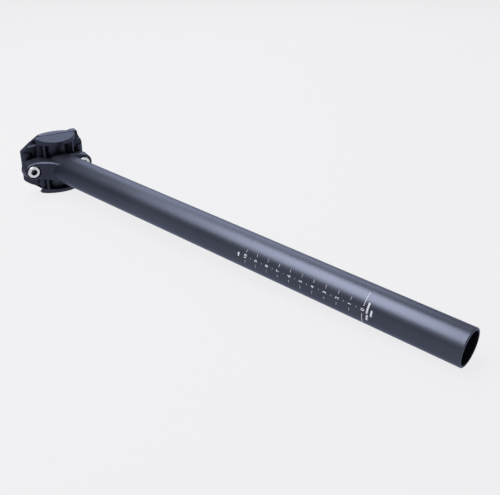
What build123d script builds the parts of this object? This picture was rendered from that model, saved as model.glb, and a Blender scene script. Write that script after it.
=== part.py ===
"""A two-bolt bicycle seatpost, lying on its side, in millimetres.

The tube runs along X, with its open lower end just beyond the origin and its head at -X.
Z is the bicycle's side-to-side direction, so one side of the saddle clamp faces the ground.
The saddle rails, the bolts and the clamp lean away from the tube by the clamp's tilt.
"""
import math
import os

from build123d import *

os.makedirs("parts", exist_ok=True)

# Tube
tube_diameter = 27.2
tube_wall = 2.1
end_to_rail = 418.0
end_beyond_origin = 1.0
rail_forward = 3.7
head_solid = 44.0
neck_length = 36.0
neck_draft = 0.2
bore_end_round = 6.0
lip_round = 0.7
lip_chamfer = 0.4

# Saddle rails and the clamp's lean
clamp_tilt = 17.0
rail_diameter = 7.0
rail_spacing = 44.0
rail_gap = 1.2

# Cylinder that the lower cradle turns on
seat_radius = 20.6
pivot_height = 5.6
seat_clearance = 0.08

# Bolts, their washers and barrel nuts
rear_bolt_gap = 6.9
front_bolt_gap = 1.9
bolt_diameter = 6.0
bolt_head_diameter = 11.0
bolt_head_height = 5.2
bolt_head_chamfer = 0.6
bolt_end_height = 13.0
hex_width = 5.5
hex_depth = 3.4
washer_diameter = 11.8
washer_thickness = 1.0
bolt_hole_clearance = 0.3
nut_diameter = 7.4
nut_length = 22.0
nut_height = 4.0
thread_clearance = 0.05
nut_fit = 0.06
nut_travel = 0.5

# Forged head
boss_radius = 8.6
boss_top = -4.8
boss_floor = 4.2
boss_skirt = 5.8
head_inset = 0.4
head_forward = 6.0
front_inset = 0.6
head_draft = 7.0
arm_lead = 9.0
arm_root_round = 7.0
arm_round = 2.4
gusset_angle = 22.0
gusset_sink = 3.0
spot_face_clearance = 0.4
spot_face_depth = 1.5

# Lower cradle
cradle_half_width = 27.5
cradle_corner = 2.5
cradle_side_draft = 10.0
skirt_width = 5.8
pocket_depth = 6.0
pocket_top = -5.0
rib_thickness = 2.2
rib_angles = (-42.0, 42.0)
core_half_width = 9.5
side_clearance = 0.9
bolt_notch = 3.6

# Upper clamp
wing_half_length = 13.8
wing_front_length = 22.0
wing_crown = 8.6
wing_shoulder = 5.2
tongue_half_width = 13.6
tongue_top = 7.2
tongue_wall = 1.1
nut_end_clearance = 0.4
bolt_slot_half_length = 4.3
bolt_slot_half_width = 3.4

# Values worked out from the sizes above
tube_radius = tube_diameter / 2
bore_radius = tube_radius - tube_wall
bore_depth = end_to_rail - head_solid
rail_radius = rail_diameter / 2
rail_side = rail_spacing / 2
bolt_radius = bolt_diameter / 2
nut_radius = nut_diameter / 2
lean = math.radians(clamp_tilt)
forward = Vector(math.sin(lean), math.cos(lean), 0)
upward = Vector(-math.cos(lean), math.sin(lean), 0)
sideways = Vector(0, 0, 1)
rail_centre = Vector(end_beyond_origin - end_to_rail, rail_forward, 0)
parting = rail_gap / 2
cradle_half_length = math.sqrt(seat_radius**2 - (pivot_height + parting) ** 2)
cradle_depth = seat_radius - pivot_height - parting
rear_bolt_reach = cradle_half_length + rear_bolt_gap
front_bolt_reach = cradle_half_length + front_bolt_gap
boss_bearing = boss_top - boss_floor
boss_rim = boss_bearing - boss_skirt
head_underside = boss_bearing - washer_thickness
bolt_face = head_underside - bolt_head_height
counterbore_radius = washer_diameter / 2 + spot_face_clearance
bolt_hole_radius = bolt_radius + bolt_hole_clearance
nut_pocket_radius = nut_radius + nut_fit
tongue_radius = nut_pocket_radius + nut_travel + tongue_wall
rear_end = -rear_bolt_reach - tongue_radius
front_end = front_bolt_reach + tongue_radius
head_half_width = tube_radius - head_inset
inner_side = head_half_width + side_clearance
pocket_width = cradle_half_width - skirt_width - core_half_width

# A shape drawn upward from the middle of its lower edge
upright = (Align.CENTER, Align.MIN)

# Planes of the clamp: seen from the side, from above, and along the rails
side_plane = Plane(rail_centre, x_dir=forward, z_dir=sideways)


def plan_plane(height):
    """Plane across the clamp at a height above the rails, with x forward along them."""
    return Plane(rail_centre + upward * height, x_dir=forward, z_dir=upward)


def rail_plane(distance):
    """Plane across the rails at a distance forward of their centre, with y upward."""
    return Plane(rail_centre + forward * distance, x_dir=-sideways, z_dir=forward)


def end_plane(x):
    """Plane across the tube at x, facing its open end."""
    return Plane((x, 0, 0), x_dir=(0, 1, 0), z_dir=(1, 0, 0))


def tube_line(side, height):
    """How far forward a line along the tube lies at a height, for its offset from the tube's axis."""
    return (side - rail_forward - height * math.sin(lean)) / math.cos(lean)


# Where the bolts stand along the rails: the rear one is nearer the rider
bolt_places = {"rear": -rear_bolt_reach, "front": front_bolt_reach}

# The rear arm runs into the tube along one long arc, which ends just inside the tube's surface
flank_slope = 90 - clamp_tilt
gusset_turn = flank_slope - gusset_angle
arm_root = arm_lead - tube_line(-tube_radius, boss_rim)
root_gap = arm_lead * math.cos(lean)
gusset_chord = (root_gap + gusset_sink) / math.sin(math.radians(gusset_turn / 2))
gusset_radius = gusset_chord / (2 * math.sin(math.radians(gusset_turn / 2)))
gusset_tangent = (math.cos(math.radians(gusset_angle)), -math.sin(math.radians(gusset_angle)))
head_reach = rear_bolt_reach + front_bolt_reach + boss_radius
head_depth = gusset_chord + boss_floor + boss_skirt
draft_inset = head_depth * math.tan(math.radians(head_draft))

# Front bolt arm, which runs straight into the tube
with BuildPart() as front_arm:
    with BuildSketch(plan_plane(boss_top)):
        Circle(head_half_width - front_inset)
        with Locations((front_bolt_reach, 0)):
            Circle(boss_radius - front_inset)
        make_hull()
    extrude(amount=-boss_floor - boss_skirt)
    fillet(front_arm.faces().sort_by(Axis(rail_centre, upward))[0].edges(), arm_round)

# Seatpost: the rear bolt arm with its gusset, then the front arm and the tube they are forged with
with BuildPart() as seatpost:
    for height, inset in ((boss_top, 0), (boss_top - head_depth, draft_inset)):
        with BuildSketch(plan_plane(height)):
            with Locations((head_forward, 0)):
                Circle(head_half_width - inset)
            with Locations((-rear_bolt_reach, 0)):
                Circle(boss_radius - inset)
            make_hull()
    loft(ruled=True)
    with BuildSketch(side_plane):
        with BuildLine():
            rear_rim = Line((-head_reach, boss_rim), (-arm_root, boss_rim))
            gusset = JernArc(rear_rim @ 1, gusset_tangent, gusset_radius, -gusset_turn)
            depth = (gusset @ 1).Y
            inner = Line(gusset @ 1, (tube_line(gusset_sink, depth), depth))
            top = Line(inner @ 1, (tube_line(gusset_sink, boss_top), boss_top))
            Polyline(top @ 1, (-head_reach, boss_top), rear_rim @ 0)
        make_face()
    extrude(amount=head_half_width, both=True, mode=Mode.INTERSECT)
    rear_bend = side_plane.from_local_coords(Vector(-arm_root, boss_rim, 0))
    fillet(seatpost.edges().filter_by(Axis.Z).sort_by_distance(rear_bend)[0], arm_root_round)
    rear_rim_side = side_plane.from_local_coords(Vector(-arm_root, boss_rim, head_half_width))
    fillet(seatpost.edges().sort_by_distance(rear_rim_side)[0], arm_round)
    add(front_arm.part)
    with BuildSketch(end_plane(end_beyond_origin)):
        Circle(tube_radius)
    extrude(amount=neck_length - end_to_rail)
    with Locations(end_plane(end_beyond_origin + neck_length - end_to_rail)):
        neck_up = (Align.CENTER, Align.CENTER, Align.MAX)
        Cone(tube_radius - neck_draft, tube_radius, neck_length, align=neck_up)
    with BuildSketch(plan_plane(boss_top)):
        Rectangle(4 * head_reach, 4 * head_reach)
    extrude(amount=end_to_rail / 4, mode=Mode.SUBTRACT)
    with BuildSketch(side_plane):
        with Locations((0, pivot_height)):
            Circle(seat_radius + seat_clearance)
    extrude(amount=cradle_half_width, both=True, mode=Mode.SUBTRACT)
    with BuildSketch(plan_plane(boss_bearing)):
        with Locations((-rear_bolt_reach, 0), (front_bolt_reach, 0)):
            Circle(counterbore_radius)
    extrude(amount=bolt_face - spot_face_depth - boss_bearing, mode=Mode.SUBTRACT)
    with BuildSketch(plan_plane(boss_bearing)):
        with Locations((-rear_bolt_reach, 0), (front_bolt_reach, 0)):
            Circle(bolt_hole_radius)
    extrude(amount=2 * boss_floor, mode=Mode.SUBTRACT)
    with BuildSketch(end_plane(end_beyond_origin)):
        Circle(bore_radius)
    extrude(amount=-bore_depth, mode=Mode.SUBTRACT)
    rings = seatpost.edges().filter_by(GeomType.CIRCLE)
    bore_end = (end_beyond_origin - bore_depth, 0, bore_radius)
    fillet(rings.sort_by_distance(bore_end)[0], bore_end_round)
    rings = seatpost.edges().filter_by(GeomType.CIRCLE)
    mouth = rings.sort_by(Axis.X)[-2:].sort_by(SortBy.RADIUS)
    chamfer(mouth[0], lip_chamfer)
    fillet(mouth[1], lip_round)

seatpost.part.label = "seatpost"
export_step(seatpost.part, "parts/seatpost.step")

# Lower cradle: a segment of the seat's cylinder, grooved for the rails
with BuildPart() as lower_cradle:
    with BuildSketch(side_plane):
        with Locations((0, pivot_height)):
            Circle(seat_radius)
        with Locations((0, seat_radius - parting)):
            Rectangle(4 * seat_radius, 2 * seat_radius, mode=Mode.SUBTRACT)
    extrude(amount=cradle_half_width, both=True)
    with BuildSketch(plan_plane(0)):
        RectangleRounded(2 * cradle_half_length, 2 * cradle_half_width, cradle_corner)
        with Locations((-rear_bolt_reach, 0), (front_bolt_reach, 0)):
            Rectangle(2 * (bolt_radius + bolt_notch), 2 * inner_side, mode=Mode.SUBTRACT)
    extrude(amount=2 * seat_radius, both=True, mode=Mode.INTERSECT)
    with BuildSketch(rail_plane(0)):
        with Locations((0, -parting)):
            slope = 90 - cradle_side_draft
            Trapezoid(2 * cradle_half_width, cradle_depth, slope, align=upright, rotation=180)
        with Locations((-rail_side, 0), (rail_side, 0)):
            Circle(rail_radius, mode=Mode.SUBTRACT)
    extrude(amount=2 * seat_radius, both=True, mode=Mode.INTERSECT)
    for side in (-1, 1):
        with BuildSketch(side_plane.offset(side * core_half_width)):
            with Locations((0, pivot_height)):
                Circle(seat_radius + pocket_depth)
                Circle(seat_radius - pocket_depth, mode=Mode.SUBTRACT)
                for angle in rib_angles:
                    with Locations(Location((0, 0), angle)):
                        with Locations((0, -seat_radius)):
                            Rectangle(rib_thickness, 4 * pocket_depth, mode=Mode.SUBTRACT)
            with Locations((0, pocket_top + 2 * seat_radius)):
                Rectangle(4 * seat_radius, 4 * seat_radius, mode=Mode.SUBTRACT)
        extrude(amount=side * pocket_width, mode=Mode.SUBTRACT)

lower_cradle.part.label = "lower_cradle"
export_step(lower_cradle.part, "parts/lower_cradle.step")

# Upper clamp: two wings over the rails and a tongue at each end for a barrel nut
with BuildPart() as upper_clamp:
    with BuildSketch(plan_plane(0)):
        with BuildLine():
            half = Polyline(
                (rear_end, 0),
                (rear_end, tongue_half_width),
                (-wing_half_length, cradle_half_width),
                (wing_front_length, cradle_half_width),
                (front_end, tongue_half_width),
                (front_end, 0),
            )
            mirror(half, Plane.XZ)
        make_face()
    extrude(amount=2 * wing_crown, both=True)
    with BuildSketch(side_plane):
        with BuildLine():
            rear_shoulder = (-wing_half_length, wing_shoulder)
            front_shoulder = (wing_half_length, wing_shoulder)
            crown = ThreePointArc(rear_shoulder, (0, wing_crown), front_shoulder)
            Polyline(
                crown @ 1,
                (front_bolt_reach - nut_radius, tongue_top),
                (front_bolt_reach, tongue_top),
                (front_bolt_reach, parting),
                (-rear_bolt_reach, parting),
                (-rear_bolt_reach, tongue_top),
                (nut_radius - rear_bolt_reach, tongue_top),
                crown @ 0,
            )
        make_face()
        with Locations((-rear_bolt_reach, nut_height), (front_bolt_reach, nut_height)):
            Circle(tongue_radius)
        above_tongue = tongue_top + wing_crown
        with Locations((-rear_bolt_reach, above_tongue), (front_bolt_reach, above_tongue)):
            Rectangle(3 * tongue_radius, 2 * wing_crown, mode=Mode.SUBTRACT)
    extrude(amount=cradle_half_width, both=True, mode=Mode.INTERSECT)
    with BuildSketch(rail_plane(0)):
        with Locations((-rail_side, 0), (rail_side, 0)):
            Circle(rail_radius)
    extrude(amount=2 * head_reach, both=True, mode=Mode.SUBTRACT)
    with BuildSketch(side_plane):
        with Locations((-rear_bolt_reach, nut_height), (front_bolt_reach, nut_height)):
            SlotCenterToCenter(2 * nut_travel, 2 * nut_pocket_radius)
            Rectangle(2 * (nut_pocket_radius + nut_travel), 2 * wing_crown, align=upright)
    extrude(amount=nut_length / 2 + nut_end_clearance, both=True, mode=Mode.SUBTRACT)
    with BuildSketch(plan_plane(0)):
        with Locations((-rear_bolt_reach, 0), (front_bolt_reach, 0)):
            SlotOverall(2 * bolt_slot_half_length, 2 * bolt_slot_half_width)
    extrude(amount=2 * wing_crown, both=True, mode=Mode.SUBTRACT)
    with BuildSketch(plan_plane(parting)):
        Rectangle(2 * head_reach, 4 * cradle_half_width)
        Rectangle(2 * head_reach, 2 * tongue_half_width, mode=Mode.SUBTRACT)
    extrude(amount=-2 * tongue_radius, mode=Mode.SUBTRACT)

upper_clamp.part.label = "upper_clamp"
export_step(upper_clamp.part, "parts/upper_clamp.step")

for place, distance in bolt_places.items():
    # Socket-head bolt, put in from below
    with BuildPart() as bolt:
        with BuildSketch(plan_plane(bolt_face)):
            with Locations((distance, 0)):
                Circle(bolt_head_diameter / 2)
        extrude(amount=bolt_head_height)
        chamfer(bolt.faces().sort_by(Axis(rail_centre, upward))[0].edges(), bolt_head_chamfer)
        with BuildSketch(plan_plane(head_underside)):
            with Locations((distance, 0)):
                Circle(bolt_radius)
        extrude(amount=bolt_end_height - head_underside)
        chamfer(bolt.faces().sort_by(Axis(rail_centre, upward))[-1].edges(), bolt_head_chamfer)
        with BuildSketch(plan_plane(bolt_face)):
            with Locations((distance, 0)):
                RegularPolygon(hex_width / 2, 6, major_radius=False)
        extrude(amount=hex_depth, mode=Mode.SUBTRACT)
    bolt.part.label = place + "_bolt"
    export_step(bolt.part, "parts/" + place + "_bolt.step")

    # Washer between the bolt's head and the boss
    with BuildPart() as washer:
        with BuildSketch(plan_plane(head_underside)):
            with Locations((distance, 0)):
                Circle(washer_diameter / 2)
                Circle(bolt_hole_radius, mode=Mode.SUBTRACT)
        extrude(amount=washer_thickness)
    washer.part.label = place + "_washer"
    export_step(washer.part, "parts/" + place + "_washer.step")

    # Barrel nut, lying across the tongue
    with BuildPart() as nut:
        with BuildSketch(side_plane):
            with Locations((distance, nut_height)):
                Circle(nut_radius)
        extrude(amount=nut_length / 2, both=True)
        chamfer(nut.edges().filter_by(GeomType.CIRCLE), bolt_head_chamfer)
        with BuildSketch(plan_plane(nut_height)):
            with Locations((distance, 0)):
                Circle(bolt_radius + thread_clearance)
        extrude(amount=nut_diameter, both=True, mode=Mode.SUBTRACT)
    nut.part.label = place + "_barrel_nut"
    export_step(nut.part, "parts/" + place + "_barrel_nut.step")
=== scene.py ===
"""Looks of the bicycle seatpost: its finishes, threaded bolts, printed scale, floor, light and camera.

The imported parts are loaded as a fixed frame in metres.
The tube runs along X with its open lower end near the origin, and Z is up.
"""
from __future__ import annotations

import logging
import math
from dataclasses import dataclass
from enum import Enum
from typing import Any

import bmesh
import bpy
from mathutils import Matrix, Vector


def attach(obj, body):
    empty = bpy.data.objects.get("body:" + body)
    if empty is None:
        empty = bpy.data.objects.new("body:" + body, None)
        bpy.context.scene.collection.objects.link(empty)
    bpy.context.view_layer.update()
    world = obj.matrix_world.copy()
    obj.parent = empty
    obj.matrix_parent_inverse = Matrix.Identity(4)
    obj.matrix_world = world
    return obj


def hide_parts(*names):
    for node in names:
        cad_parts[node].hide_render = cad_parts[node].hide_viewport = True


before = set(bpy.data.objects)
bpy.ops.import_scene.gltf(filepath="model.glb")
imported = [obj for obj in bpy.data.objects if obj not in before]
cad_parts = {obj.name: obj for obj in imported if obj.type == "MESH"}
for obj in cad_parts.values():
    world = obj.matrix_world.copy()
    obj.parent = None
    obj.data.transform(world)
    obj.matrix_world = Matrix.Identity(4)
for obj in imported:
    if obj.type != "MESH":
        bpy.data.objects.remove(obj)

LOG = logging.getLogger("seatpost")
MM = 0.001
Colour = tuple[float, float, float]
Place = tuple[float, float, float]


class Body(Enum):
    """The bodies that pieces ride on."""

    POST = "post"


class Slot(Enum):
    """The record's material slots."""

    ALLOY = "black_alloy"
    STEEL = "bolt_steel"


class Wire:
    """A shader value that can be used in arithmetic."""

    def __init__(self, shader: Shader, socket: bpy.types.NodeSocket | None) -> None:
        """Wraps one output socket of a shader's node tree, or none for an output node."""
        self.shader = shader
        self.socket = socket

    def _math(self, operation: str, *values: Operand, clamp: bool = False) -> Wire:
        """Adds one Math node.

        Args:
            operation: The Math node's operation.
            values: Its inputs, in order.
            clamp: Whether its result is kept between 0 and 1.

        Returns:
            The node's result.
        """
        settings = {"operation": operation, "use_clamp": clamp}
        return self.shader.node("ShaderNodeMath", settings, dict(enumerate(values)))

    def __add__(self, other: Operand) -> Wire:
        """Adds a value."""
        return self._math("ADD", self, other)

    __radd__ = __add__

    def __sub__(self, other: Operand) -> Wire:
        """Takes a value away."""
        return self._math("SUBTRACT", self, other)

    def __rsub__(self, other: Operand) -> Wire:
        """Takes this value away from another."""
        return self._math("SUBTRACT", other, self)

    def __mul__(self, other: Operand) -> Wire:
        """Multiplies by a value."""
        return self._math("MULTIPLY", self, other)

    __rmul__ = __mul__

    def __truediv__(self, other: Operand) -> Wire:
        """Divides by a value."""
        return self._math("DIVIDE", self, other)

    def __rtruediv__(self, other: Operand) -> Wire:
        """Divides another value by this one."""
        return self._math("DIVIDE", other, self)

    def __pow__(self, other: Operand) -> Wire:
        """Raises this value to a power."""
        return self._math("POWER", self, other)

    def __gt__(self, other: Operand) -> Wire:
        """Gives 1 where this value is greater, else 0."""
        return self._math("GREATER_THAN", self, other)

    def __lt__(self, other: Operand) -> Wire:
        """Gives 1 where this value is less, else 0."""
        return self._math("LESS_THAN", self, other)

    def size(self) -> Wire:
        """Gives this value without its sign."""
        return self._math("ABSOLUTE", self)

    def centred(self) -> Wire:
        """Shifts a value between 0 and 1 so that it lies about 0."""
        return self - 0.5

    def clamped(self) -> Wire:
        """Keeps this value between 0 and 1."""
        return self._math("ADD", self, 0.0, clamp=True)


Operand = Wire | float


class Shader:
    """A material's or world's node tree, with one method that adds any node."""

    def __init__(self, owner: bpy.types.Material | bpy.types.World) -> None:
        """Empties the owner's node tree."""
        owner.use_nodes = True
        self.tree = owner.node_tree
        self.tree.nodes.clear()

    def node(
        self,
        kind: str,
        settings: dict[str, Any] | None = None,
        inputs: dict[str | int, Any] | None = None,
        output: str | int = 0,
    ) -> Wire:
        """Adds a node, sets it up and links it.

        Args:
            kind: The node's type.
            settings: Its properties, set first.
            inputs: Values or wires for its input sockets.
            output: The output socket to give back.

        Returns:
            The chosen output.
        """
        node = self.tree.nodes.new(kind)
        for name, value in (settings or {}).items():
            setattr(node, name, value)
        for key, value in (inputs or {}).items():
            if isinstance(value, Wire):
                self.tree.links.new(value.socket, node.inputs[key])
            else:
                node.inputs[key].default_value = value
        if not node.outputs:
            return Wire(self, None)
        return Wire(self, node.outputs[output])

    def place(self) -> Wire:
        """Gives the object's own coordinates."""
        return self.node("ShaderNodeTexCoord", output="Object")

    def axes(self) -> tuple[Wire, Wire, Wire]:
        """Gives the object's own x, y and z."""
        split = self.node("ShaderNodeSeparateXYZ", inputs={0: self.place()})
        outputs = split.socket.node.outputs
        return Wire(self, outputs[0]), Wire(self, outputs[1]), Wire(self, outputs[2])

    def noise(self, scale: float, detail: float = 2.0) -> Wire:
        """Gives a noise of a scale in waves per metre."""
        inputs = {"Vector": self.place(), "Scale": scale, "Detail": detail}
        return self.node("ShaderNodeTexNoise", inputs=inputs, output="Fac")

    def blend(self, amount: Operand, first: Any, second: Any) -> Wire:
        """Mixes two colours.

        Args:
            amount: How much of the second colour.
            first: A colour or a wire.
            second: A colour or a wire.

        Returns:
            The mixed colour.
        """
        settings = {"data_type": "RGBA"}
        inputs = {0: amount, 6: first, 7: second}
        return self.node("ShaderNodeMix", settings, inputs, output=2)

    def bump(self, height: Wire, strength: float, distance: float) -> Wire:
        """Gives a normal bumped by a height."""
        inputs = {"Strength": strength, "Distance": distance, "Height": height}
        return self.node("ShaderNodeBump", inputs=inputs)

    def surface(self, result: Wire) -> None:
        """Links the finished shader to the output."""
        self.node("ShaderNodeOutputMaterial", inputs={"Surface": result})


def opaque(colour: Colour) -> tuple[float, float, float, float]:
    """Adds full alpha to a colour."""
    return (*colour, 1.0)


@dataclass(frozen=True)
class AnodisedAlloy:
    """Matte black anodised alloy with a fine blasted grain, with painted shade towards the forged head
    and inside the bore.
    """

    name: str = "anodised_alloy"
    dark: Colour = (0.056, 0.062, 0.089)
    light: Colour = (0.070, 0.078, 0.108)
    edge: Colour = (0.74, 0.78, 0.92)
    # Painted shade colours: the forged head and clamp, and the wall inside the bore.
    head: Colour = (0.036, 0.040, 0.060)
    inside: Colour = (0.014, 0.015, 0.020)
    metallic: float = 1.0
    roughness: float = 0.40
    grain_scale: float = 2600.0
    grain_roughness: float = 0.10
    grain_strength: float = 0.12
    grain_depth: float = 0.04 * MM
    smudge_scale: float = 26.0
    smudge_detail: float = 4.0
    smudge_roughness: float = 0.08
    inside_roughness: float = 0.3
    # Where the painted shade towards the forged head starts, and how far it runs to full strength.
    fade_start: float = -290 * MM
    fade_length: float = 100 * MM
    bore_radius: float = 12.2 * MM
    bore_end: float = -374 * MM

    def make(self) -> bpy.types.Material:
        """Builds the material.

        Returns:
            The finished material.
        """
        material = bpy.data.materials.new(self.name)
        shader = Shader(material)
        along, across, up = shader.axes()
        grain = shader.noise(self.grain_scale)
        smudge = shader.noise(self.smudge_scale, self.smudge_detail)
        radius = (across * across + up * up) ** 0.5
        in_tube = (radius < self.bore_radius) * (along > self.bore_end)
        # Painted shade: the colour darkens from the tube towards the forged head, and the head and clamp
        # keep the darker colour.
        head_shade_amount = ((self.fade_start - along) / self.fade_length).clamped()
        tube = shader.blend(smudge, opaque(self.dark), opaque(self.light))
        outer = shader.blend(head_shade_amount, tube, opaque(self.head))
        # Painted shade inside the bore.
        colour = shader.blend(in_tube, outer, opaque(self.inside))
        roughness = self.roughness + grain.centred() * self.grain_roughness
        roughness = roughness + smudge.centred() * self.smudge_roughness + in_tube * self.inside_roughness
        surface = shader.node(
            "ShaderNodeBsdfPrincipled",
            inputs={
                "Base Color": colour,
                "Metallic": self.metallic,
                "Specular Tint": opaque(self.edge),
                "Roughness": roughness.clamped(),
                "Normal": shader.bump(grain, self.grain_strength, self.grain_depth),
            },
        )
        shader.surface(surface)
        return material


@dataclass(frozen=True)
class BoltPlan:
    """Where the two clamp bolts stand, and their main sizes."""

    rail_x: float = -417.0 * MM
    rail_y: float = 3.7 * MM
    tilt: float = math.radians(17.0)
    rear_reach: float = 26.545 * MM
    front_reach: float = 21.545 * MM
    face_height: float = -15.2 * MM
    underside: float = -10.0 * MM
    end_height: float = 13.0 * MM
    chamfer: float = 0.6 * MM
    socket_depth: float = 3.4 * MM
    crest_radius: float = 3.0 * MM
    root_radius: float = 2.5 * MM

    def stand(self, reach: float) -> Matrix:
        """Gives the place of a bolt that is modelled upright at the origin.

        Args:
            reach: How far the bolt stands in front of the rails' middle.

        Returns:
            The turn and shift onto the bolt's axis.
        """
        forward = Vector((math.sin(self.tilt), math.cos(self.tilt), 0))
        upward = Vector((-math.cos(self.tilt), math.sin(self.tilt), 0))
        turn = Matrix((forward, upward.cross(forward), upward)).transposed()
        foot = Vector((self.rail_x, self.rail_y, 0)) + forward * reach
        return Matrix.Translation(foot) @ turn.to_4x4()


@dataclass(frozen=True)
class BoltSteel:
    """Bright plated steel, with painted shade in the hex sockets and the thread valleys."""

    name: str = "bolt_steel"
    colour: Colour = (0.76, 0.77, 0.82)
    worn: Colour = (0.62, 0.63, 0.68)
    # Painted shade colours: the thread valleys and the hex socket.
    valley: Colour = (0.20, 0.20, 0.22)
    socket: Colour = (0.05, 0.05, 0.055)
    metallic: float = 1.0
    roughness: float = 0.30
    grain_scale: float = 900.0
    grain_detail: float = 3.0
    grain_roughness: float = 0.2
    grain_strength: float = 0.05
    grain_depth: float = 0.04 * MM
    plan: BoltPlan = BoltPlan()
    socket_radius: float = 3.3 * MM
    socket_margin: float = 0.1 * MM

    def bolt_place(self, shader: Shader) -> tuple[Wire, Wire]:
        """Measures from the nearer bolt's axis and from the rails.

        Args:
            shader: The material's node tree.

        Returns:
            The distance from the axis, and the height above the rails.
        """
        along, across, side = shader.axes()
        plan = self.plan
        sine = math.sin(plan.tilt)
        cosine = math.cos(plan.tilt)
        height = (across - plan.rail_y) * sine - (along - plan.rail_x) * cosine
        forward = (along - plan.rail_x) * sine + (across - plan.rail_y) * cosine
        middle = (plan.front_reach - plan.rear_reach) / 2
        off = (forward - middle).size() - (plan.front_reach + plan.rear_reach) / 2
        return (off * off + side * side) ** 0.5, height

    def make(self) -> bpy.types.Material:
        """Builds the material.

        Returns:
            The finished material.
        """
        material = bpy.data.materials.new(self.name)
        shader = Shader(material)
        grain = shader.noise(self.grain_scale, self.grain_detail)
        distance, height = self.bolt_place(shader)
        plan = self.plan
        above_face = height - plan.face_height
        # Painted shade in the hex socket.
        socket_shade_mask = (distance < self.socket_radius) * (above_face > self.socket_margin)
        socket_shade_mask = socket_shade_mask * (above_face < plan.socket_depth + self.socket_margin)
        on_thread = (height > plan.underside) * (height < plan.end_height - plan.chamfer)
        # Painted shade in the thread valleys, deepest at the thread's root.
        depth = (plan.crest_radius - distance) / (plan.crest_radius - plan.root_radius)
        valley_shade_amount = depth.clamped() * on_thread
        plated = shader.blend(grain, opaque(self.colour), opaque(self.worn))
        threaded = shader.blend(valley_shade_amount, plated, opaque(self.valley))
        surface = shader.node(
            "ShaderNodeBsdfPrincipled",
            inputs={
                "Base Color": shader.blend(socket_shade_mask, threaded, opaque(self.socket)),
                "Metallic": self.metallic,
                "Roughness": (self.roughness + grain.centred() * self.grain_roughness).clamped(),
                "Normal": shader.bump(grain, self.grain_strength, self.grain_depth),
            },
        )
        shader.surface(surface)
        return material


@dataclass(frozen=True)
class PrintInk:
    """Pale ink of the printed scale, a little uneven."""

    name: str = "print_ink"
    colour: Colour = (0.52, 0.52, 0.58)
    thin: Colour = (0.33, 0.34, 0.39)
    roughness: float = 0.5
    patch_scale: float = 700.0

    def make(self) -> bpy.types.Material:
        """Builds the material.

        Returns:
            The finished material.
        """
        material = bpy.data.materials.new(self.name)
        shader = Shader(material)
        patch = shader.noise(self.patch_scale)
        surface = shader.node(
            "ShaderNodeBsdfPrincipled",
            inputs={
                "Base Color": shader.blend(patch, opaque(self.colour), opaque(self.thin)),
                "Roughness": self.roughness,
            },
        )
        shader.surface(surface)
        return material


@dataclass(frozen=True)
class PaleFloor:
    """Pale floor that the camera sees at an even tone, with the object's soft shadow."""

    name: str = "pale_floor"
    tone: Colour = (0.842, 0.842, 0.859)
    even_share: float = 0.96

    def make(self) -> bpy.types.Material:
        """Builds the material.

        Returns:
            The finished material.
        """
        material = bpy.data.materials.new(self.name)
        shader = Shader(material)
        camera = shader.node("ShaderNodeLightPath", output="Is Camera Ray")
        glossy = Wire(shader, camera.socket.node.outputs["Is Glossy Ray"])
        seen = (camera + glossy).clamped() * self.even_share
        lit = shader.node("ShaderNodeBsdfDiffuse", inputs={"Color": opaque(self.tone)})
        even = shader.node("ShaderNodeEmission", inputs={"Color": opaque(self.tone), "Strength": 1.0})
        shader.surface(shader.node("ShaderNodeMixShader", inputs={0: seen, 1: lit, 2: even}))
        return material


def new_piece(name: str, bm: bmesh.types.BMesh, material: bpy.types.Material) -> bpy.types.Object:
    """Turns a bmesh into an object at the origin.

    Args:
        name: The object's name.
        bm: Its mesh, which is freed.
        material: Its only material.

    Returns:
        The new object.
    """
    mesh = bpy.data.meshes.new(name)
    bm.to_mesh(mesh)
    bm.free()
    piece = bpy.data.objects.new(name, mesh)
    bpy.context.scene.collection.objects.link(piece)
    mesh.materials.append(material)
    return piece


@dataclass
class PackedParts:
    """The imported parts, which only take their finishes."""

    alloy_nodes: tuple[str, ...] = ("seatpost", "lower_cradle", "upper_clamp")

    def dress(self, alloy: bpy.types.Material, steel: bpy.types.Material) -> None:
        """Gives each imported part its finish.

        Args:
            alloy: Finish of the post and the clamp.
            steel: Finish of the bolts, washers and nuts.
        """
        for name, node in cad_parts.items():
            node.data.materials.clear()
            node.data.materials.append(alloy if name in self.alloy_nodes else steel)
            LOG.info("dressed %s", name)


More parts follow.
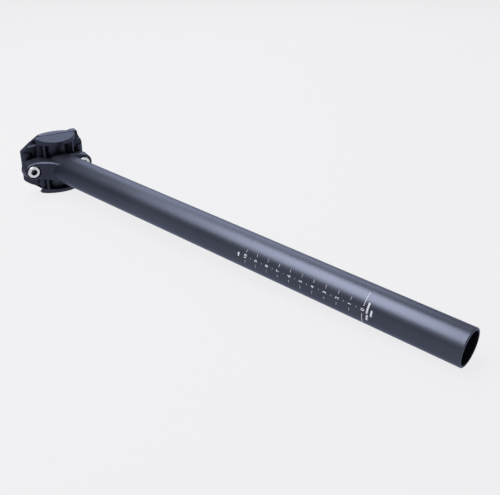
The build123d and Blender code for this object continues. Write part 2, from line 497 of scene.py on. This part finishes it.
@dataclass
class ClampBolt:
    """A socket-head bolt with a cut thread, which stands for a packed bolt."""

    node: str
    reach: float
    plan: BoltPlan = BoltPlan()
    head_radius: float = 5.5 * MM
    head_sides: int = 64
    socket_sides: int = 6
    socket_radius: float = 3.175 * MM
    socket_turn: float = math.radians(30.0)
    pitch: float = 1.0 * MM
    turn_steps: int = 32
    depth_in_head: float = 0.5 * MM
    merge_distance: float = 0.001 * MM

    def cut_thread(self, bm: bmesh.types.BMesh) -> None:
        """Models the shank as a rod with a thread along its whole length.

        Args:
            bm: The bolt's mesh, still empty.
        """
        low = self.plan.underside - self.depth_in_head
        # The rod starts and ends beyond its place, because its first and last turns are ragged
        start = low - 2 * self.pitch
        turns = math.ceil((self.plan.end_height - start) / self.pitch) + 1
        outline = []
        for index in range(2 * turns + 1):
            radius = self.plan.crest_radius if index % 2 else self.plan.root_radius
            outline.append(bm.verts.new((radius, 0, start + index * self.pitch / 2)))
        edges = [bm.edges.new(pair) for pair in zip(outline, outline[1:])]
        rise = (0, 0, self.pitch / self.turn_steps)
        bmesh.ops.spin(
            bm,
            geom=outline + edges,
            axis=(0, 0, 1),
            dvec=rise,
            angle=math.tau,
            steps=self.turn_steps,
        )
        bmesh.ops.remove_doubles(bm, verts=bm.verts, dist=self.merge_distance)
        self.trim(bm, low, -1)
        self.trim(bm, self.plan.end_height, 1)
        # The chamfer narrows the rod towards its tip
        for vertex in bm.verts:
            past_chamfer = max(0.0, vertex.co.z - self.plan.end_height + self.plan.chamfer)
            shrink = min(1.0, (self.plan.crest_radius - past_chamfer) / vertex.co.xy.length)
            vertex.co.xy = vertex.co.xy * shrink

    def trim(self, bm: bmesh.types.BMesh, height: float, way: int) -> None:
        """Cuts the rod square at a height and closes it.

        Args:
            bm: The rod.
            height: Where the cut goes.
            way: 1 to take away what is above, or -1 what is below.
        """
        geom = bm.verts[:] + bm.edges[:] + bm.faces[:]
        cut = bmesh.ops.bisect_plane(
            bm,
            geom=geom,
            dist=self.merge_distance,
            plane_co=(0, 0, height),
            plane_no=(0, 0, way),
            clear_outer=True,
        )
        rim = [item for item in cut["geom_cut"] if isinstance(item, bmesh.types.BMEdge)]
        bmesh.ops.contextual_create(bm, geom=rim)

    def raise_ring(
        self, bm: bmesh.types.BMesh, ring: list[bmesh.types.BMEdge], rise: float, ratio: float = 1.0
    ) -> list[bmesh.types.BMEdge]:
        """Extrudes a ring of edges along the bolt.

        Args:
            bm: The bolt's mesh.
            ring: The ring to extrude.
            rise: How far it goes up.
            ratio: How much wider it gets.

        Returns:
            The new ring.
        """
        geom = bmesh.ops.extrude_edge_only(bm, edges=ring)["geom"]
        verts = [item for item in geom if isinstance(item, bmesh.types.BMVert)]
        bmesh.ops.scale(bm, verts=verts, vec=(ratio, ratio, 1))
        bmesh.ops.translate(bm, verts=verts, vec=(0, 0, rise))
        edges = [item for item in geom if isinstance(item, bmesh.types.BMEdge)]
        return [edge for edge in edges if edge.verts[0] in verts and edge.verts[1] in verts]

    def circle(
        self, bm: bmesh.types.BMesh, sides: int, radius: float, turn: float = 0.0
    ) -> list[bmesh.types.BMEdge]:
        """Adds a ring of edges on the head's outer face.

        Args:
            bm: The bolt's mesh.
            sides: How many edges the ring has.
            radius: Its radius.
            turn: Its turn about the bolt's axis.

        Returns:
            The ring.
        """
        place = Matrix.Translation((0, 0, self.plan.face_height)) @ Matrix.Rotation(turn, 4, "Z")
        verts = bmesh.ops.create_circle(bm, segments=sides, radius=radius, matrix=place)["verts"]
        return list(dict.fromkeys(edge for vertex in verts for edge in vertex.link_edges))

    def shape_head(self, bm: bmesh.types.BMesh) -> None:
        """Models the round head with its hex socket.

        Args:
            bm: The bolt's mesh.
        """
        face_radius = self.head_radius - self.plan.chamfer
        rim = self.circle(bm, self.head_sides, face_radius)
        socket = self.circle(bm, self.socket_sides, self.socket_radius, self.socket_turn)
        bmesh.ops.bridge_loops(bm, edges=rim + socket)
        floor = self.raise_ring(bm, socket, self.plan.socket_depth)
        bmesh.ops.contextual_create(bm, geom=floor)
        side = self.raise_ring(bm, rim, self.plan.chamfer, self.head_radius / face_radius)
        top = self.raise_ring(bm, side, self.plan.underside - self.plan.face_height - self.plan.chamfer)
        bmesh.ops.contextual_create(bm, geom=top)

    def build(self, steel: bpy.types.Material) -> bpy.types.Object:
        """Makes the bolt in its place.

        Args:
            steel: The bolt's finish.

        Returns:
            The bolt.
        """
        bm = bmesh.new()
        self.cut_thread(bm)
        self.shape_head(bm)
        bmesh.ops.transform(bm, matrix=self.plan.stand(self.reach), verts=bm.verts)
        bmesh.ops.recalc_face_normals(bm, faces=bm.faces)
        piece = new_piece(f"{self.node}_threaded", bm, steel)
        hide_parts(self.node)
        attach(piece, Body.POST.value)
        LOG.info("built %s", piece.name)
        return piece


@dataclass(frozen=True)
class PrintBar:
    """A plain bar of the print, which ends at two angles in degrees from the tube's rear side."""

    x: float
    low: float
    high: float


@dataclass
class PrintedScale:
    """The insertion scale printed on the rear of the tube, with its limit line."""

    tube_radius: float = 13.6 * MM
    lift: float = 0.03 * MM
    thickness: float = 0.03 * MM
    merge_distance: float = 0.001 * MM
    limit_x: float = -67.9 * MM
    pitch: float = 10 * MM
    marks: int = 11
    centre_angle: float = 12.0
    digit_height: float = 2.5 * MM
    digit_share_of_font: float = 0.7
    digit_weight: float = 0.03
    tick_offset: float = 4.2 * MM
    tick_length: float = 2.4 * MM
    tick_width: float = 0.24 * MM
    dot_size: float = 0.9 * MM
    line_width: float = 0.42 * MM
    line_angles: tuple[tuple[float, float], ...] = ((24, 65), (-95, 1))
    bar_width: float = 1.3 * MM
    bars: tuple[PrintBar, ...] = (
        PrintBar(-64.6 * MM, 6, 38),
        PrintBar(-64.1 * MM, -16, 2),
        PrintBar(-61.4 * MM, 2, 20),
        PrintBar(-174.4 * MM, 5, 17),
    )
    bend_step: float = 1.0 * MM

    def wrap(self, bm: bmesh.types.BMesh) -> None:
        """Bends a flat print round the tube.

        Args:
            bm: A mesh with x along the tube, y round it from the rear side, and z outward.
        """
        for vertex in bm.verts:
            angle = vertex.co.y / self.tube_radius
            radius = self.tube_radius + self.lift + vertex.co.z
            vertex.co.y = -radius * math.cos(angle)
            vertex.co.z = radius * math.sin(angle)

    def arc(self, degrees: float) -> float:
        """Gives the length round the tube of an angle from its rear side."""
        return math.radians(degrees) * self.tube_radius

    def patch(self, bm: bmesh.types.BMesh, x: float, low: float, high: float, width: float) -> None:
        """Adds a flat bar that runs round the tube.

        Args:
            bm: The print's flat mesh.
            x: The bar's place along the tube.
            low: Where the bar starts round the tube.
            high: Where it ends.
            width: Its width along the tube.
        """
        steps = max(1, math.ceil((high - low) / self.bend_step))
        place = Matrix.Translation((x, (low + high) / 2, 0))
        size = Matrix.Diagonal((width, high - low, 1, 1))
        bmesh.ops.create_grid(bm, x_segments=1, y_segments=steps, size=0.5, matrix=place @ size)

    def number(self, bm: bmesh.types.BMesh, text: str, x: float, y: float) -> None:
        """Adds a number that reads upright when the post stands.

        Args:
            bm: The print's flat mesh.
            text: The number.
            x: Its middle along the tube.
            y: Its middle round the tube.
        """
        curve = bpy.data.curves.new("number", "FONT")
        curve.body = text
        curve.size = self.digit_height / self.digit_share_of_font
        curve.align_x = "CENTER"
        curve.align_y = "CENTER"
        curve.offset = self.digit_height * self.digit_weight
        carrier = bpy.data.objects.new("number", curve)
        bpy.context.scene.collection.objects.link(carrier)
        bpy.context.view_layer.update()
        mesh = bpy.data.meshes.new_from_object(carrier)
        upright = Matrix(((0, -1, 0, x), (1, 0, 0, y), (0, 0, 1, 0), (0, 0, 0, 1)))
        mesh.transform(upright)
        bm.from_mesh(mesh)
        bpy.data.objects.remove(carrier)
        bpy.data.curves.remove(curve)
        bpy.data.meshes.remove(mesh)

    def flat(self) -> bmesh.types.BMesh:
        """Lays out the whole print flat.

        Returns:
            The flat print.
        """
        bm = bmesh.new()
        middle = self.arc(self.centre_angle)
        for index in range(self.marks):
            x = self.limit_x - index * self.pitch
            self.number(bm, str(index), x, middle)
            if index:
                for side in (-1, 1):
                    centre = middle + side * self.tick_offset
                    half = self.tick_length / 2
                    self.patch(bm, x, centre - half, centre + half, self.tick_width)
                half = self.dot_size / 2
                self.patch(bm, x + self.pitch / 2, middle - half, middle + half, self.tick_width)
        for low, high in self.line_angles:
            self.patch(bm, self.limit_x, self.arc(low), self.arc(high), self.line_width)
        for bar in self.bars:
            self.patch(bm, bar.x, self.arc(bar.low), self.arc(bar.high), self.bar_width)
        return bm

    def thicken(self, bm: bmesh.types.BMesh) -> None:
        """Gives the flat print its thickness.

        Args:
            bm: The print's flat mesh.
        """
        bmesh.ops.remove_doubles(bm, verts=bm.verts, dist=self.merge_distance)
        raised = bmesh.ops.extrude_face_region(bm, geom=bm.faces[:], use_keep_orig=True)["geom"]
        tops = [item for item in raised if isinstance(item, bmesh.types.BMVert)]
        bmesh.ops.translate(bm, verts=tops, vec=(0, 0, self.thickness))

    def build(self, ink: bpy.types.Material) -> bpy.types.Object:
        """Makes the print as a thin layer on the tube.

        Args:
            ink: The print's finish.

        Returns:
            The print.
        """
        bm = self.flat()
        self.thicken(bm)
        self.wrap(bm)
        bmesh.ops.recalc_face_normals(bm, faces=bm.faces)
        piece = new_piece("scale_print", bm, ink)
        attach(piece, Body.POST.value)
        LOG.info("built %s", piece.name)
        return piece


@dataclass(frozen=True)
class SoftBox:
    """A soft box that lights the post, in metres and watts."""

    name: str
    place: Place
    aim: Place
    size: tuple[float, float]
    power: float
    colour: Colour = (1.0, 0.985, 0.94)

    def hang(self) -> None:
        """Hangs the box in its place, facing its aim."""
        lamp = bpy.data.lights.new(self.name, "AREA")
        lamp.shape = "RECTANGLE"
        lamp.size, lamp.size_y = self.size
        lamp.energy = self.power
        lamp.color = self.colour
        holder = bpy.data.objects.new(self.name, lamp)
        holder.location = self.place
        facing = Vector(self.aim) - Vector(self.place)
        holder.rotation_euler = facing.to_track_quat("-Z", "Y").to_euler()
        bpy.context.scene.collection.objects.link(holder)


@dataclass
class Studio:
    """Floor, surroundings, lamps and camera."""

    rest_height: float = -13.65 * MM
    rest_slope: float = 0.0338
    floor_size: float = 6.0
    image_width: int = 500
    focal_pixels: float = 675.2
    camera_place: Vector = Vector((101.4, -343.72, 253.158)) * MM
    camera_right: Vector = Vector((0.7672, 0.64052, 0.03357))
    camera_down: Vector = Vector((0.3396, -0.36125, -0.8684))
    sensor: float = 36.0
    near_clip: float = 0.01
    sky: Colour = (0.86, 0.87, 0.9)
    sky_strength: float = 0.55
    lamps: tuple[SoftBox, ...] = (
        SoftBox("over_tube", (-0.55, -0.28, 0.965), aim=(-0.55, 0, 0), size=(0.75, 1.15), power=21.0),
        SoftBox("behind_tube", (-0.9, 0.8, 0.6), aim=(-0.2, 0, 0), size=(1.2, 0.7), power=6.8),
        SoftBox("by_camera", (0.7, -1.0, 0.7), aim=(-0.2, 0, 0), size=(0.6, 0.6), power=1.5),
    )

    def lay_floor(self, material: bpy.types.Material) -> None:
        """Lays the floor that the post's head and open end rest on.

        Args:
            material: The floor's finish.
        """
        bm = bmesh.new()
        bmesh.ops.create_grid(bm, x_segments=1, y_segments=1, size=self.floor_size)
        for vertex in bm.verts:
            vertex.co.z = self.rest_height + vertex.co.x * self.rest_slope
        new_piece("floor", bm, material)

    def light_world(self) -> None:
        """Sets the pale surroundings."""
        world = bpy.data.worlds.new("surroundings")
        bpy.context.scene.world = world
        shader = Shader(world)
        inputs = {"Color": opaque(self.sky), "Strength": self.sky_strength}
        glow = shader.node("ShaderNodeBackground", inputs=inputs)
        shader.node("ShaderNodeOutputWorld", inputs={"Surface": glow})

    def set_camera(self) -> None:
        """Places the camera where the photograph was taken from."""
        lens = bpy.data.cameras.new("camera")
        lens.sensor_fit = "HORIZONTAL"
        lens.sensor_width = self.sensor
        lens.lens = self.focal_pixels * self.sensor / self.image_width
        lens.clip_start = self.near_clip
        camera = bpy.data.objects.new("camera", lens)
        right = self.camera_right.normalized()
        back = -right.cross(self.camera_down).normalized()
        turn = Matrix((right, back.cross(right), back)).transposed()
        camera.matrix_world = Matrix.Translation(self.camera_place) @ turn.to_4x4()
        bpy.context.scene.collection.objects.link(camera)
        bpy.context.scene.camera = camera

    def build(self) -> None:
        """Sets up the whole studio."""
        self.lay_floor(PaleFloor().make())
        self.light_world()
        for lamp in self.lamps:
            lamp.hang()
        self.set_camera()
        bpy.context.scene.view_settings.view_transform = "Standard"
        LOG.info("built studio")


def main() -> None:
    """Dresses the post, makes its bolts and printed scale, and sets up the studio."""
    logging.basicConfig(level=logging.INFO)
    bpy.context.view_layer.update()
    steel = BoltSteel().make()
    PackedParts().dress(AnodisedAlloy().make(), steel)
    plan = BoltPlan()
    ClampBolt("rear_bolt", -plan.rear_reach).build(steel)
    ClampBolt("front_bolt", plan.front_reach).build(steel)
    PrintedScale().build(PrintInk().make())
    Studio().build()


if __name__ == "__main__":
    main()
